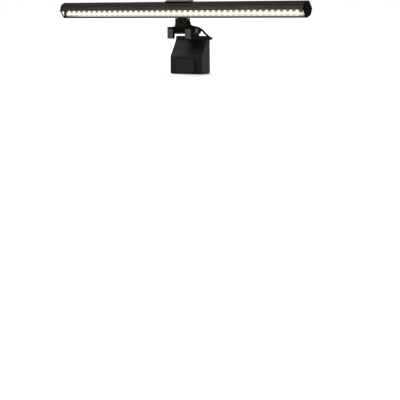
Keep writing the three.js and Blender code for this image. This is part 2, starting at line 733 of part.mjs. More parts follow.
// Pivot: a headed pin through both cheeks, and a push-on cap at its other end
function pivotPin() {
  const face = half(bodyWidth);
  return rod(pivotY, pivotZ, pinRadius, -face - pinHeadThick, face + half(pinHeadThick), 16)
    .add(alongX(disc(pivotY, pivotZ, pinHeadRadius), face, face + pinHeadThick, pinHeadBevel, 8));
}

function pivotCap() {
  const face = -half(bodyWidth);
  return alongX(disc(pivotY, pivotZ, pinHeadRadius), face - pinHeadThick, face, pinHeadBevel, 8)
    .subtract(rod(pivotY, pivotZ, pinRadius + half(gap), face - pinHeadThick - overrun, face + overrun, 16));
}

// A tube through points, its rings square to it, closed at both ends
function tubeThrough(points, radiusAt, sides, startAlong = null) {
  const rings = [];
  let up = null;
  points.forEach((p, i) => {
    const ahead = points[Math.min(i + 1, points.length - 1)].clone();
    const onward = ahead.sub(points[Math.max(i - 1, 0)]).normalize();
    const along = i === 0 && startAlong ? startAlong.clone() : onward;
    if (!up) up = new THREE.Vector3(0, 0, 1).cross(along).lengthSq() > 0.01 ? zAxis.clone() : yAxis.clone();
    up.addScaledVector(along, -up.dot(along)).normalize();
    const across = new THREE.Vector3().crossVectors(along, up);
    const radius = radiusAt(i / (points.length - 1));
    for (let k = 0; k < sides; k += 1) {
      const turn = (2 * Math.PI * k) / sides;
      rings.push(p.clone().addScaledVector(up, radius * Math.cos(turn))
        .addScaledVector(across, radius * Math.sin(turn)));
    }
  });
  const index = [];
  const last = (points.length - 1) * sides;
  for (let i = 0; i < points.length - 1; i += 1) {
    for (let k = 0; k < sides; k += 1) {
      const a = i * sides + k;
      const b = i * sides + ((k + 1) % sides);
      index.push(a, b, a + sides, b, b + sides, a + sides);
    }
  }
  for (let k = 1; k < sides - 1; k += 1) {
    index.push(0, k + 1, k);
    index.push(last, last + k, last + k + 1);
  }
  const geometry = new THREE.BufferGeometry().setFromPoints(rings);
  geometry.setIndex(index);
  return geometry;
}

// Torsion spring: coils round the pin between the knuckles, and a tail along the arm
function torsionSpring() {
  const points = [];
  const steps = springTurns * 8;
  for (let i = 0; i <= steps; i += 1) {
    const turn = (2 * Math.PI * i) / 8 - half(Math.PI);
    points.push(new THREE.Vector3(-half(springLength) + (springLength * i) / steps,
      springRadius * Math.sin(turn), springRadius * Math.cos(turn)));
  }
  const end = points.at(-1);
  points.push(new THREE.Vector3(end.x, end.y + springWire, end.z + springTail));
  return tubeThrough(points, () => springWire, 5);
}

// Leg: knuckles, curved arm and a hollow shell that holds the counterweight
const legRoofFront = armReach - half(armThick) - gap;
const legRoofBack = armReach + half(armThick) + gap;
const legSide = [
  [legRoofFront, -legTop], [legRoofBack, -legTop], [legBack, -legShoulder], [legBack, -legBottom],
  [legFront, -legBottom], [legFront, -legSlopeEnd], [legRoofFront, -legShoulder],
];

function armBand() {
  const centre = new THREE.CurvePath();
  centre.add(new THREE.LineCurve(new THREE.Vector2(0, 0), new THREE.Vector2(armReach - armBend, 0)));
  centre.add(new THREE.QuadraticBezierCurve(new THREE.Vector2(armReach - armBend, 0),
    new THREE.Vector2(armReach, 0), new THREE.Vector2(armReach, -armBend)));
  centre.add(new THREE.LineCurve(new THREE.Vector2(armReach, -armBend),
    new THREE.Vector2(armReach, -legTop - half(armBend))));
  const line = centre.curves.flatMap((curve, i) => curve.getPoints(i === 1 ? 8 : 1).slice(i ? 1 : 0));
  const sideOf = (sign) => line.map((p, i) => {
    const along = line[Math.min(i + 1, line.length - 1)].clone().sub(line[Math.max(i - 1, 0)]).normalize();
    return [p.x - sign * along.y * half(armThick), p.y + sign * along.x * half(armThick)];
  });
  return outline([...sideOf(-1), ...sideOf(1).reverse()]);
}

// The leg's inner outline, with its open back drawn out to a given place
function legInside(play, back) {
  return offset(legSide, -legWall - play).map(([y, z], i) => [i === 2 || i === 3 ? back : y, z]);
}

function legShell() {
  const x = half(legWidth);
  const shell = alongX(outline(legSide, legCorner), -x, x, legBevel, 3);
  const hollow = alongX(outline(legInside(0, legBack + overrun)), -x + legWall, x - legWall);
  const boss = (side) => alongY(disc(side * coverScrewX, -coverScrewZ - half(legWall), 2 * screwHeadRadius),
    armReach - half(armThick), legBack - gap);
  const cavity = hollow.subtract(boss(-1)).subtract(boss(1));
  const web = rectangle(0, -half(armWeb), bodyBack - pivotY - gap, half(armWeb));
  const band = alongX(armBand(), -half(armWidth), half(armWidth))
    .add(alongX(web, -knuckleOuter, knuckleOuter));
  const knuckle = rod(0, 0, knuckleRadius, -knuckleOuter, knuckleOuter, 12);
  const window = alongX(rectangle(-knuckleRadius - overrun, -knuckleRadius - overrun, springSpaceBack,
    knuckleRadius + overrun), -half(springSpace), half(springSpace));
  let leg = shell.subtract(cavity).add(band.add(knuckle).subtract(window))
    .subtract(rod(0, 0, pinRadius + runningGap, -bodyWidth, bodyWidth, 16));
  for (const side of [-1, 1]) leg = leg.subtract(placed(screwHole(), coverScrewPlace(side)));
  return leg;
}

function coverScrewPlace(side) {
  const y = legBack + gap + coverThick - screwHeadThick - screwLength;
  return new THREE.Matrix4().makeTranslation(side * coverScrewX, y, -coverScrewZ - half(legWall));
}

function legCover() {
  const shape = rectangle(-half(legWidth), -legBottom, half(legWidth), -legTop, legCorner);
  let cover = alongY(shape, legBack + gap, legBack + gap + coverThick, coverEdge, 3);
  for (const side of [-1, 1]) cover = cover.subtract(placed(screwHole(), coverScrewPlace(side)));
  return cover;
}

function counterweight() {
  const x = half(legWidth) - legWall - weightInset;
  const above = rectangle(0, -weightTop, legBack + overrun, 0);
  return alongX(outline(legInside(weightInset, legBack - weightInset)), -x, x)
    .subtract(alongX(above, -x - overrun, x + overrun));
}

function legPad() {
  const bottom = -legBottom + legPadFromBottom;
  const front = legFront - gap - legPadThick;
  let pad = alongY(rectangle(-half(legPadWidth), bottom, half(legPadWidth), bottom + legPadHeight, legCorner),
    front, legFront - gap, half(coverEdge), 3);
  const pitch = legPadHeight / (legPadRibs + 1);
  for (let i = 1; i <= legPadRibs; i += 1) {
    pad = pad.subtract(alongX(rectangle(front - overrun, bottom + i * pitch - legPadRibDepth,
      front + legPadRibDepth, bottom + i * pitch + legPadRibDepth), -legPadWidth, legPadWidth));
  }
  return pad;
}

// Cord: the strain relief, the stretch over the clamp, the stretch that turns with the leg, the coil
const reliefRoute = [
  [9.5, 1.7, 17], [10.1, 1.7, 16.9], [11, 1.7, 15.9], [11.4, 1.65, 14.3], [11.8, 1.5, 12.8],
  [12.9, 1.35, 11.5], [14.5, 1.3, 11.1],
];
const leadRoute = [
  [14.8, 1.3, 11.02], [16.4, 1.4, 10.6], [18, 1.6, 10.15], [19.7, 1.95, 9.75], [21.3, 2.4, 9.4],
  [22.8, 2.95, 9],
];
const tailRoute = [
  [23.08, 3.06, 8.92], [24.2, 3.6, 8.5], [25.6, 4.8, 7.8], [26.9, 6.8, 6.4], [27.9, 9, 4.8],
  [28.9, 12.5, 2.1], [29.6, 16.6, -0.7], [30, 21.5, -3.4], [30, 27, -5.4], [29.9, 31.5, -6.5],
  [28.2, 35.3, -7.2], [24, 37.6, -7.8], [18, coilFirstY, -8.4], [11, coilFirstY, -8.9],
  [2, coilFirstY, coilZ + coilOuter], [-5, coilFirstY, coilZ + coilOuter],
  [coilX + cordWidth + cordGap, coilFirstY, coilZ + coilOuter],
];
const vectors = (list) => list.map((p) => new THREE.Vector3(...p));

function cordTube(route) {
  const path = new THREE.CatmullRomCurve3(vectors(route), false, 'centripetal');
  const steps = Math.max(4, Math.round(path.getLength() / (1.2 * cordWidth)));
  const circle = new THREE.Shape();
  for (let k = 0; k < 8; k += 1) {
    const turn = (2 * Math.PI * k) / 8;
    const x = half(cordWidth) * Math.cos(turn);
    const y = half(cordWidth) * Math.sin(turn);
    if (k === 0) circle.moveTo(x, y);
    else circle.lineTo(x, y);
  }
  circle.closePath();
  return solidOf(new THREE.ExtrudeGeometry(circle, { steps, extrudePath: path, bevelEnabled: false }));
}

// The strain relief lies against the ear, so the bracket and the body are grooved for it.
function reliefSolid(grow = 0) {
  const path = new THREE.CatmullRomCurve3(vectors(reliefRoute), false, 'centripetal');
  const taper = (t) => reliefBase + (reliefTip - reliefBase) * t + grow;
  return solidOf(tubeThrough(path.getSpacedPoints(10), taper, 12, xAxis));
}

// The groove that the cord leaves in the body's right cheek
function leadGroove() {
  const path = new THREE.CatmullRomCurve3(vectors(leadRoute), false, 'centripetal');
  return solidOf(tubeThrough(path.getSpacedPoints(6), () => half(cordWidth) + gap, 12, xAxis));
}

// The coil lies upright behind the leg. Its layers spiral in and out by turns, and it climbs to the
// next layer in the half turn where the spiral reverses.
function coilPoints() {
  const points = [new THREE.Vector3(coilX + cordWidth, coilFirstY, coilZ + coilOuter)];
  const steps = Math.round(coilLayers * turnsPerLayer * stepsPerTurn);
  for (let i = 0; i <= steps; i += 1) {
    const turns = i / stepsPerTurn;
    const layer = Math.min(coilLayers - 1, Math.floor(turns / turnsPerLayer));
    const within = turns - layer * turnsPerLayer;
    const radius = layer % 2 === 0 ? coilOuter - within * turnPitch : coilInner + within * turnPitch;
    const nearest = Math.round(turns / turnsPerLayer);
    const past = turns - nearest * turnsPerLayer;
    const climbing = nearest > 0 && nearest < coilLayers && Math.abs(past) < 0.25;
    const height = climbing ? nearest - 0.5 + 2 * past : layer;
    const turn = half(Math.PI) + 2 * Math.PI * turns;
    points.push(new THREE.Vector3(coilX + radius * Math.cos(turn), coilFirstY + height * turnPitch,
      coilZ + radius * Math.sin(turn)));
  }
  points.push(points.at(-1).clone().add(new THREE.Vector3(-cordWidth, 0, 0)));
  return points;
}

function leastGap(points) {
  let least = Infinity;
  const apart = half(stepsPerTurn);
  points.forEach((p, i) => {
    for (let k = i + apart; k < points.length; k += 1) least = Math.min(least, p.distanceTo(points[k]));
  });
  return least - cordWidth;
}

const plugY = coilLastY + half(cordWidth) + gap + half(plugThick);
const plugZ = coilZ - half(coilOuter);
const plugX = coilX - half(plugLength);
const endRoute = [
  [coilX - cordWidth - cordGap, coilLastY, coilZ + coilOuter],
  [coilX - 9.5, coilLastY + 0.8, coilZ + coilOuter - 1.6], [coilX - 16.9, coilLastY + 2.8, coilZ + 15.9],
  [coilX - 21.8, coilLastY + 4.7, coilZ + 7.7], [coilX - 22.6, plugY, coilZ - 1],
  [coilX - 20.2, plugY, coilZ - 7.6], [coilX - 14.9, plugY, plugZ - 0.1],
  [plugX - cordGap, plugY, plugZ],
];

function plugBody() {
  const hand = rectangle(plugX + plugTaper, plugZ - half(plugWidth), plugX + plugLength,
    plugZ + half(plugWidth), plugCorner);
  const block = alongY(hand, plugY - half(plugThick), plugY + half(plugThick), half(plugCorner), 3);
  const taper = plugTaper + plugCorner;
  const cone = new THREE.CylinderGeometry(half(cordWidth) + gap, half(plugThick) - gap, taper, 12);
  const neck = solidOf(cone.rotateZ(half(Math.PI)).translate(plugX + half(taper), plugY, plugZ));
  return block.add(neck);
}

function plugShell() {
  const x0 = plugX + plugLength + gap;
  const outer = rectangle(plugY - half(shellThick), plugZ - half(shellWidth), plugY + half(shellThick),
    plugZ + half(shellWidth), shellWall);
  const inner = rectangle(plugY - half(shellThick) + shellWall, plugZ - half(shellWidth) + shellWall,
    plugY + half(shellThick) - shellWall, plugZ + half(shellWidth) - shellWall);
  const tongue = rectangle(plugY - half(shellThick) + shellWall / 2, plugZ - half(shellWidth) + shellWall / 2,
    plugY, plugZ + half(shellWidth) - shellWall / 2);
  return alongX(outer, x0, x0 + shellLength).subtract(alongX(inner, x0 + shellWall, x0 + shellLength + overrun))
    .add(alongX(tongue, x0 + half(shellWall), x0 + shellLength - shellWall));
}

// A hook-and-loop tie round the turns, at the coil's right side
function cordTie() {
  const slack = half(cordWidth) + gap;
  const sag = coilInner - Math.sqrt(coilInner ** 2 - half(tieWidth) ** 2);
  const x = [coilX + coilInner - slack - sag, coilX + coilOuter + slack];
  const y = [coilFirstY - slack, coilLastY + slack];
  const band = (grow) => rectangle(x[0] - grow, y[0] - grow, x[1] + grow, y[1] + grow, grow + half(cordWidth));
  return alongZ(band(tieThick), coilZ - half(tieWidth), coilZ + half(tieWidth))
    .subtract(alongZ(band(0), coilZ - half(tieWidth) - overrun, coilZ + half(tieWidth) + overrun));
}

// Assembly
const lightBar = new THREE.Group();
const clamp = new THREE.Group();
const leg = new THREE.Group();
const bar = new THREE.Group();
lightBar.add(clamp, leg, bar);
leg.position.set(0, pivotY, pivotZ);
bar.position.set(0, hingeY - barForward, hingeZ + barRise);

bar.add(
  piece('bar_housing', barHousing(), 'anodised'),
  piece('end_cap_left', endCap(-1), 'blackPlastic'),
  piece('end_cap_right', endCap(1), 'blackPlastic'),
  piece('led_board', ledBoard(), 'board'),
  piece('lens_strip', lensStrip(), 'lens'),
  piece('driver_board', driverBoard(), 'circuit'),
  piece('inner_lead', innerLead(), 'cordJacket'),
  piece('bar_holder', saddle(), 'darkDieCast'),
  piece('touch_panel', touchPanel(), 'blackPlastic'),
);

clamp.add(
  piece('clamp_body', clampBody(), 'blackPlastic'),
  piece('seat_pad', seatPad(), 'silicone'),
  piece('tilt_bracket', tiltBracket(), 'darkDieCast'),
  piece('tilt_shaft', tiltShaft(), 'blackSteel'),
  piece('tilt_nut', shaftNut(), 'blackSteel'),
  piece('pivot_pin', pivotPin(), 'steel'),
  piece('pivot_cap', pivotCap(), 'steel'),
  piece('strain_relief', reliefSolid(), 'cordJacket'),
  piece('usb_cord_lead', cordTube(leadRoute), 'cordJacket'),
);

leg.add(
  piece('leg_shell', legShell(), 'blackPlastic'),
  piece('leg_cover', legCover(), 'blackPlastic'),
  piece('counterweight', counterweight(), 'steel'),
  piece('leg_pad', legPad(), 'silicone'),
  piece('torsion_spring', torsionSpring(), 'steel'),
);

for (const [word, side] of [['left', -1], ['right', 1]]) {
  const barScrew = piece(`holder_screw_${word}`, screw(), 'blackSteel');
  barScrew.applyMatrix4(saddleScrewPlace(side));
  bar.add(barScrew);
  const bracketScrew = piece(`bracket_screw_${word}`, screw(bracketScrewLength), 'blackSteel');
  bracketScrew.applyMatrix4(bracketScrewPlace(side));
  const coverScrew = piece(`cover_screw_${word}`, screw(), 'blackSteel');
  coverScrew.applyMatrix4(coverScrewPlace(side));
  leg.add(coverScrew);
  clamp.add(
    bracketScrew,
    piece(`tilt_washer_${word}`, frictionWasher(side), 'steel'),
    piece(`front_hook_${word}`, frontHook(side), 'hookGrey'),
    piece(`hook_pad_${word}`, hookPad(side), 'silicone'),
  );
}

const windings = coilPoints();
lightBar.add(
  piece('usb_cord_tail', cordTube(tailRoute), 'cordJacket'),
  piece('cord_coil', tubeThrough(windings, () => half(cordWidth), 6), 'cordJacket'),
  piece('usb_cord_end', cordTube(endRoute), 'cordJacket'),
  piece('cord_tie', cordTie(), 'fabricTie'),
  piece('usb_plug_body', plugBody(), 'blackPlastic'),
  piece('usb_plug_shell', plugShell(), 'steel'),
);

const lengthOf = (points) => new THREE.CatmullRomCurve3(points, false, 'centripetal').getLength();
const coilLength = lengthOf(windings);
const freeLength = [leadRoute, tailRoute, endRoute].reduce((sum, route) => sum + lengthOf(vectors(route)), 0);
console.log(`coil: least gap ${leastGap(windings).toFixed(2)} mm, length ${coilLength.toFixed(0)} mm`);
console.log(`cord: ${(coilLength + freeLength).toFixed(0)} mm in all`);

export default lightBar;
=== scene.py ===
import json
import math

import bmesh
import bpy
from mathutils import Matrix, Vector

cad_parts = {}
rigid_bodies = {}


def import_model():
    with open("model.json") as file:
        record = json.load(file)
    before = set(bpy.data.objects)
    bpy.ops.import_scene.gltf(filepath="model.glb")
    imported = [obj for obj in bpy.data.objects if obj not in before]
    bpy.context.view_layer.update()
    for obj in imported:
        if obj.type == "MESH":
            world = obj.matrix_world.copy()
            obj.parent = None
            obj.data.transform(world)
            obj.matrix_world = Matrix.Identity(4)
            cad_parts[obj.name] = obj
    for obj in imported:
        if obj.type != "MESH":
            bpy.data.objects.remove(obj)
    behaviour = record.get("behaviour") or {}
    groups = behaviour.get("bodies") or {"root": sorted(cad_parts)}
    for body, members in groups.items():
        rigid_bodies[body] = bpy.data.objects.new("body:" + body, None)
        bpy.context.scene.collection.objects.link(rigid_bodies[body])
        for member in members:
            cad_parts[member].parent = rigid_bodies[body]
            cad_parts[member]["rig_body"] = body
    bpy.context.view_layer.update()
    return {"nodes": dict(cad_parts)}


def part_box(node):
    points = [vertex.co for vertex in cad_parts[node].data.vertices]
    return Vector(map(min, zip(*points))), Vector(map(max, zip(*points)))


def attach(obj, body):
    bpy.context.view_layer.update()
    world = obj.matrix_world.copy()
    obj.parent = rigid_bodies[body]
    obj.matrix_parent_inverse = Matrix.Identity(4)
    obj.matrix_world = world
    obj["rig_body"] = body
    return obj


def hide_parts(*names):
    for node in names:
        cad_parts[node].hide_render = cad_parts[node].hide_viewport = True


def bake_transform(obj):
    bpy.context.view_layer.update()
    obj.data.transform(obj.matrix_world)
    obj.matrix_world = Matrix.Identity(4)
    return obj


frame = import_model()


# Camera: it stands low and to the right of the bar, and looks slightly down, so that the bar
# crosses the top of the picture. Place, turn and lens come from the bar's straight edges.
def placed(name, data):
    """An object that shows a mesh, lamp or camera, linked into the scene."""
    made = bpy.data.objects.new(name, data)
    bpy.context.scene.collection.objects.link(made)
    return made


camera_data = bpy.data.cameras.new("camera")
camera_data.sensor_width = 36.0
camera_data.lens = 104.52
camera_data.clip_start = 0.05
camera_data.clip_end = 60.0
camera = placed("camera", camera_data)
camera.location = (0.846, -1.4252, 0.0344)
camera.rotation_euler = [math.radians(a) for a in (80.67, 0.353, 29.811)]
bpy.context.scene.camera = camera


# Clamp body: a glass-filled nylon bridge that sits on the screen's edge. It is injection moulded,
# with a fine spark-eroded texture, and its edges are rounded by the mould.
def meshed(shape, name, finish):
    """The mesh of a shape that is ready, with its first material."""
    mesh = bpy.data.meshes.new(name)
    shape.to_mesh(mesh)
    shape.free()
    mesh.materials.append(finish)
    return mesh


def eased(node, finish, edge, segments=2):
    """A piece in the shape of a CAD node, with the edge radius that its making leaves."""
    same_point, no_length, still_flat = 2e-6, 1e-6, math.radians(0.5)
    corner_angle, crease_angle = math.radians(26), math.radians(38)
    shape = bmesh.new()
    shape.from_mesh(frame["nodes"][node].data)
    bmesh.ops.remove_doubles(shape, verts=shape.verts, dist=same_point)
    bmesh.ops.dissolve_limit(shape, angle_limit=still_flat, verts=shape.verts, edges=shape.edges)
    corners = [e for e in shape.edges
               if len(e.link_faces) == 2 and e.calc_face_angle(0) > corner_angle]
    if edge:
        bmesh.ops.bevel(shape, geom=corners, offset=edge, segments=segments, profile=0.5,
                        affect="EDGES", clamp_overlap=True)
        bmesh.ops.dissolve_degenerate(shape, dist=no_length, edges=shape.edges)
    for face in shape.faces:
        face.smooth = True
    mesh = meshed(shape, node + "_eased", finish)
    mesh.set_sharp_from_angle(angle=crease_angle)
    piece = placed(mesh.name, mesh)
    piece.modifiers.new("Even shading", "WEIGHTED_NORMAL").keep_sharp = True
    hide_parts(node)
    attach(piece, frame["nodes"][node]["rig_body"])
    return piece


def node_in(material, kind, **settings):
    """A shader node of a kind, with its properties and its inputs set by name."""
    made = material.node_tree.nodes.new("ShaderNode" + kind)
    for key, value in settings.items():
        if hasattr(made, key):
            setattr(made, key, value)
        else:
            made.inputs[key.replace("_", " ")].default_value = value
    return made


def surface(name, **sockets):
    """A new node material and its Principled shader, with the constant sockets set."""
    material = bpy.data.materials.new(name)
    material.use_nodes = True
    shader = material.node_tree.nodes["Principled BSDF"]
    for key, value in sockets.items():
        shader.inputs[key.replace("_", " ")].default_value = value
    return material, shader


def noise_in(material, size, stretch, **settings):
    """A noise pattern whose patches have one size, drawn out where the making draws them out."""
    link = material.node_tree.links.new
    place = node_in(material, "TexCoord")
    turn = node_in(material, "Mapping", Scale=stretch)
    noise = node_in(material, "TexNoise", Scale=1.0 / size, **settings)
    link(place.outputs["Object"], turn.inputs["Vector"])
    link(turn.outputs["Vector"], noise.inputs["Vector"])
    return noise.outputs["Fac"]


def ramped(material, value, stops):
    """The colour that a value from 0 to 1 meets on a ramp of places and their colours."""
    ramp = node_in(material, "ValToRGB")
    elements = ramp.color_ramp.elements
    while len(elements) < len(stops):
        elements.new(0.5)
    for element, (position, colour) in zip(elements, stops):
        element.position = position
        element.color = (*colour, 1)
    material.node_tree.links.new(value, ramp.inputs["Fac"])
    return ramp.outputs["Color"]


def mapped(material, value, old, new=(0.0, 1.0), **settings):
    """A value taken from an old range to a new one, and held at the ends of the new one."""
    ranged = node_in(material, "MapRange", From_Min=old[0], From_Max=old[1],
                     To_Min=new[0], To_Max=new[1], **settings)
    material.node_tree.links.new(value, ranged.inputs["Value"])
    return ranged.outputs["Result"]


def embossed(material, shader, pattern, depth, strength):
    """Relief: the pattern stands out from the surface by a depth."""
    bump = node_in(material, "Bump", Strength=strength, Distance=depth)
    material.node_tree.links.new(pattern, bump.inputs["Height"])
    material.node_tree.links.new(bump.outputs["Normal"], shader.inputs["Normal"])


def mottled(material, shader, dark, light, patch, rough, stretch=(1, 1, 1)):
    """Colour that drifts between two tones over patches, and roughness that drifts with it."""
    noise = noise_in(material, patch, stretch, Detail=4.0, Roughness=0.6)
    tone = ramped(material, noise, ((0.35, dark), (0.65, light)))
    worn = mapped(material, noise, (0.0, 1.0), rough)
    material.node_tree.links.new(tone, shader.inputs["Base Color"])
    material.node_tree.links.new(worn, shader.inputs["Roughness"])


def grained(material, shader, grain, depth, stretch=(1, 1, 1), strength=0.5):
    """Fine relief: grains of one size and depth, drawn out where the making draws them out."""
    embossed(material, shader, noise_in(material, grain, stretch, Detail=3.0), depth, strength)


nylon, nylon_shader = surface("textured_black_nylon", Specular_IOR_Level=0.01)
mottled(nylon, nylon_shader, dark=(0.003, 0.003, 0.0028), light=(0.0065, 0.0065, 0.0062),
        patch=0.006, rough=(0.5, 0.68))
grained(nylon, nylon_shader, grain=0.0006, depth=0.00005, strength=0.7)
eased("clamp_body", nylon, edge=0.0003)


# Seat pad: a die-cut strip of silicone rubber that keeps the clamp from sliding or scratching. It
# is glued under the body, and its cut edges stay sharp.
silicone, silicone_shader = surface("navy_grey_silicone", Specular_IOR_Level=0.1,
                                    Sheen_Weight=0.1, Sheen_Roughness=0.6)
mottled(silicone, silicone_shader, dark=(0.014, 0.014, 0.021), light=(0.022, 0.022, 0.031),
        patch=0.004, rough=(0.75, 0.9))
grained(silicone, silicone_shader, grain=0.0007, depth=0.00003)
eased("seat_pad", silicone, edge=0.00015)


# Front hooks: two pressed steel hooks in grey paint, tabbed into the body under its brows. They lap
# over the front of the screen's border, and their tops, sides and backs are black like the body.
hook_paint, hook_shader = surface("grey_hook_paint", Specular_IOR_Level=0.15)
mottled(hook_paint, hook_shader, dark=(0.058, 0.058, 0.058), light=(0.078, 0.077, 0.076),
        patch=0.003, rough=(0.42, 0.56))
grained(hook_paint, hook_shader, grain=0.0006, depth=0.00004)
for side in ("left", "right"):
    hook = eased("front_hook_" + side, hook_paint, edge=0.0003, segments=3)
    hook.data.materials.append(nylon)
    for face in hook.data.polygons:
        facing = face.normal
        up_or_back = max(facing.z, facing.y) > 0.5
        sideways = abs(facing.x) > 0.7
        face.material_index = 1 if up_or_back or sideways else 0


# Hook pads: thin silicone pads glued behind the hooks, so that only rubber meets the screen.
# They are cut from the same sheet as the seat pad.
for side in ("left", "right"):
    eased("hook_pad_" + side, silicone, edge=0.0001)


# Tilt bracket: a zinc die casting with two ears, screwed on from under the body. It is painted
# satin black, and the paint rounds its flutes.
casting, casting_shader = surface("satin_black_casting", Specular_IOR_Level=0.09)
mottled(casting, casting_shader, dark=(0.0045, 0.0041, 0.0021), light=(0.0085, 0.0077, 0.004),
        patch=0.005, rough=(0.34, 0.46))
grained(casting, casting_shader, grain=0.0012, depth=0.00004)
eased("tilt_bracket", casting, edge=0.00025)


# Tilt shaft, nut and washers: a hollow steel shaft that the wires run through, clamped by a nut
# over two washers. The shaft, the nut and the bracket's screws are blackened, and the washers are
# plain ground steel.
blackened, blackened_shader = surface("blackened_steel", Metallic=0.9)
mottled(blackened, blackened_shader, dark=(0.018, 0.018, 0.019), light=(0.034, 0.034, 0.034),
        patch=0.002, rough=(0.3, 0.45))
grained(blackened, blackened_shader, grain=0.0003, depth=0.00001, stretch=(1, 1, 6))
ground, ground_shader = surface("ground_steel", Metallic=1.0)
mottled(ground, ground_shader, dark=(0.30, 0.30, 0.31), light=(0.42, 0.42, 0.43),
        patch=0.002, rough=(0.24, 0.38))
grained(ground, ground_shader, grain=0.0002, depth=0.00001, stretch=(1, 8, 1))
eased("tilt_shaft", blackened, edge=0.0001)
eased("tilt_nut", blackened, edge=0.00015)
for side in ("left", "right"):
    eased("tilt_washer_" + side, ground, edge=0.00006)
    eased("bracket_screw_" + side, blackened, edge=0.0001)


# Pivot pin and cap: the rear leg turns on a steel pin with a low turned head, pressed through both
# cheeks. A cap with the same face closes the other end. Turning leaves fine rings on both.
pin_y, pin_z, ring_scale = 0.006, 0.0052, 900.0
turned, turned_shader = surface("turned_steel_face", Metallic=1.0, Roughness=0.34)
place = node_in(turned, "TexCoord")
centred = node_in(turned, "Mapping", Location=(0.0, -pin_y, -pin_z))
rings = node_in(turned, "TexWave", wave_type="RINGS", rings_direction="X", Scale=ring_scale,
                Distortion=0.6, Detail=2.0)
turned_link = turned.node_tree.links.new
turned_link(place.outputs["Object"], centred.inputs["Vector"])
turned_link(centred.outputs["Vector"], rings.inputs["Vector"])
ring_tone = ramped(turned, rings.outputs["Fac"],
                   ((0.0, (0.035, 0.0355, 0.036)), (1.0, (0.065, 0.065, 0.066))))
turned_link(ring_tone, turned_shader.inputs["Base Color"])
embossed(turned, turned_shader, rings.outputs["Fac"], depth=0.00002, strength=0.25)
eased("pivot_pin", turned, edge=0.0001)
eased("pivot_cap", turned, edge=0.0001)


# Rear leg: a moulded nylon shell that hangs behind the screen on a curved arm, closed at the back
# by a screwed cover. It holds the sawn steel counterweight and has a ribbed silicone pad in front.
leg_nylon, leg_shader = surface("textured_leg_nylon", Specular_IOR_Level=0.12)
mottled(leg_nylon, leg_shader, dark=(0.0045, 0.0045, 0.0044), light=(0.0095, 0.0095, 0.0092),
        patch=0.005, rough=(0.42, 0.58))
grained(leg_nylon, leg_shader, grain=0.0007, depth=0.00006, strength=0.8)
eased("leg_shell", leg_nylon, edge=0.00025)
eased("leg_cover", leg_nylon, edge=0.0002)
eased("leg_pad", silicone, edge=0.00025)
sawn_steel, sawn_shader = surface("sawn_steel_weight", Metallic=1.0)
mottled(sawn_steel, sawn_shader, dark=(0.22, 0.22, 0.22), light=(0.34, 0.34, 0.33),
        patch=0.004, rough=(0.4, 0.6))
grained(sawn_steel, sawn_shader, grain=0.0004, depth=0.00004, stretch=(1, 1, 12))
eased("counterweight", sawn_steel, edge=0.0004)
for side in ("left", "right"):
    eased("cover_screw_" + side, blackened, edge=0.0001)


# Torsion spring: round oil-tempered wire coiled over the pin. It presses the leg against the
# screen, and its tail lies on the arm.
def drawn_tube(name, line, radius_at, sides, finish):
    """A round tube along a line of points, with rings that don't twist and closed ends."""
    rings, up = [], None
    for i, here in enumerate(line):
        along = (line[min(i + 1, len(line) - 1)] - line[max(i - 1, 0)]).normalized()
        if up is None:
            up = Vector((0, 0, 1)) if abs(along.z) < 0.9 else Vector((0, 1, 0))
        up = (up - along * up.dot(along)).normalized()
        across = along.cross(up)
        radius = radius_at(i / (len(line) - 1))
        for k in range(sides):
            turn = 2 * math.pi * k / sides
            rings.append(here + (up * math.cos(turn) + across * math.sin(turn)) * radius)
    faces = []
    for i in range(len(line) - 1):
        for k in range(sides):
            a, b = i * sides + k, i * sides + (k + 1) % sides
            faces.append((a, b, b + sides, a + sides))
    faces.append(tuple(reversed(range(sides))))
    faces.append(tuple(range(len(rings) - sides, len(rings))))
    mesh = bpy.data.meshes.new(name)
    mesh.from_pydata(rings, [], faces)
    mesh.materials.append(finish)
    for face in mesh.polygons:
        face.use_smooth = len(face.vertices) == 4
    mesh.update()
    return placed(name, mesh)


wire, wire_shader = surface("oil_tempered_wire", Metallic=1.0)
mottled(wire, wire_shader, dark=(0.05, 0.05, 0.053), light=(0.09, 0.09, 0.094),
        patch=0.001, rough=(0.3, 0.42))
spring_turns, spring_steps, spring_radius, wire_radius = 6, 24, 0.0023, 0.00035
spring_start, spring_length, spring_tail = -0.004, 0.008, Vector((0, 0.0003, 0.0018))
spring_line = []
for i in range(spring_turns * spring_steps + 1):
    turn = 2 * math.pi * i / spring_steps - math.pi / 2
    spring_line.append(Vector((spring_start + spring_length * i / (spring_turns * spring_steps),
                               pin_y + spring_radius * math.sin(turn),
                               pin_z + spring_radius * math.cos(turn))))
spring_line.append(spring_line[-1] + spring_tail)
spring = drawn_tube("spring_wire", spring_line, lambda t: wire_radius, sides=8, finish=wire)
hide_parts("torsion_spring")
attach(spring, "leg")


# Extrusion: the bar is one length of faceted aluminium section, bead blasted and anodised a warm
# near-black. Its colour carries painted light: the front facet is lighter towards the nose, and the
# bar is lighter towards the right end. The die leaves faint lines along it.
def spot_on_piece(material):
    """The X, Y and Z of each spot on the piece, as three sockets."""
    place = node_in(material, "TexCoord")
    parts = node_in(material, "SeparateXYZ")
    material.node_tree.links.new(place.outputs["Object"], parts.inputs["Vector"])
    return parts.outputs


def worked_out(material, operation, *values):
    """The result of one step of arithmetic on sockets or numbers."""
    step = node_in(material, "Math", operation=operation)
    for socket, value in zip(step.inputs, values):
        if isinstance(value, float):
            socket.default_value = value
        else:
            material.node_tree.links.new(value, socket)
    return step.outputs[0]


